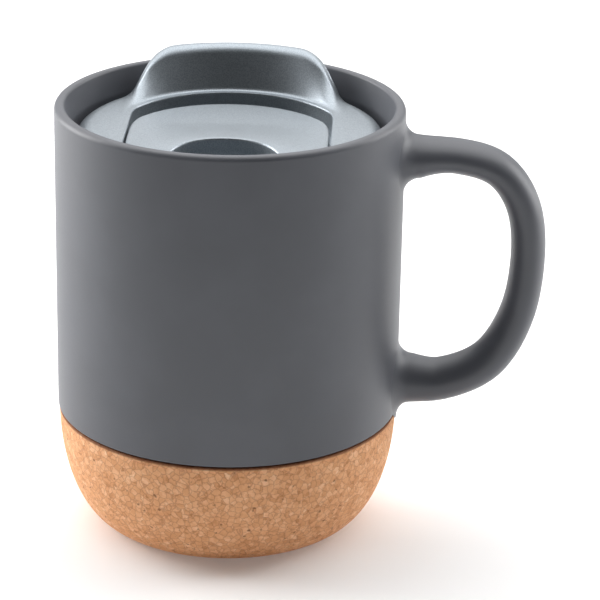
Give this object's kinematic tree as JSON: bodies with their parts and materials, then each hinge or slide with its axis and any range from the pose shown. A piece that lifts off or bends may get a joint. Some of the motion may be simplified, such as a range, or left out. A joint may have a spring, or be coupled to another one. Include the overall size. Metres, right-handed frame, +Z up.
{
  "type": "lidded mug",
  "caption": "Straight-sided ceramic mug with a D-shaped handle, rounded cork base and a push-in lid with a raised drinking lip and a sliding shutter.",
  "frame": {"origin": "centre of the flat underside, on the cup's axis, at the table", "axes": "+Z up along the cup's axis, +X towards the handle, +Y towards the drinking lip"},
  "size_m": [0.1188, 0.084, 0.111],
  "materials": {
    "ceramic": "satin",
    "cork": "matte",
    "adhesive": "satin",
    "lid_plastic": "satin",
    "silicone": "matte",
    "inner_plastic": "satin"
  },
  "bodies": {
    "mug": {"mug_body": "ceramic", "mug_handle": "ceramic", "cork_base": "cork", "base_adhesive": "adhesive"},
    "seal": {"lid_seal": "silicone"},
    "lid": {"lid_body": "lid_plastic"},
    "shutter": {"lid_shutter": "lid_plastic", "shutter_gasket": "silicone", "shutter_retainer": "inner_plastic"}
  },
  "joints": [
    {"name": "lid_lift", "type": "slide", "parent": "mug", "child": "seal", "axis": [0, 0, 1], "range_m": [0, 0.06]},
    {"name": "lid_turn", "type": "hinge", "parent": "seal", "child": "lid", "pos_m": [0, 0, 0.0931], "axis": [0, 0, 1], "continuous": true},
    {"name": "shutter_slide", "type": "slide", "parent": "lid", "child": "shutter", "axis": [0, 1, 0], "range_m": [0, 0.0085]}
  ]
}
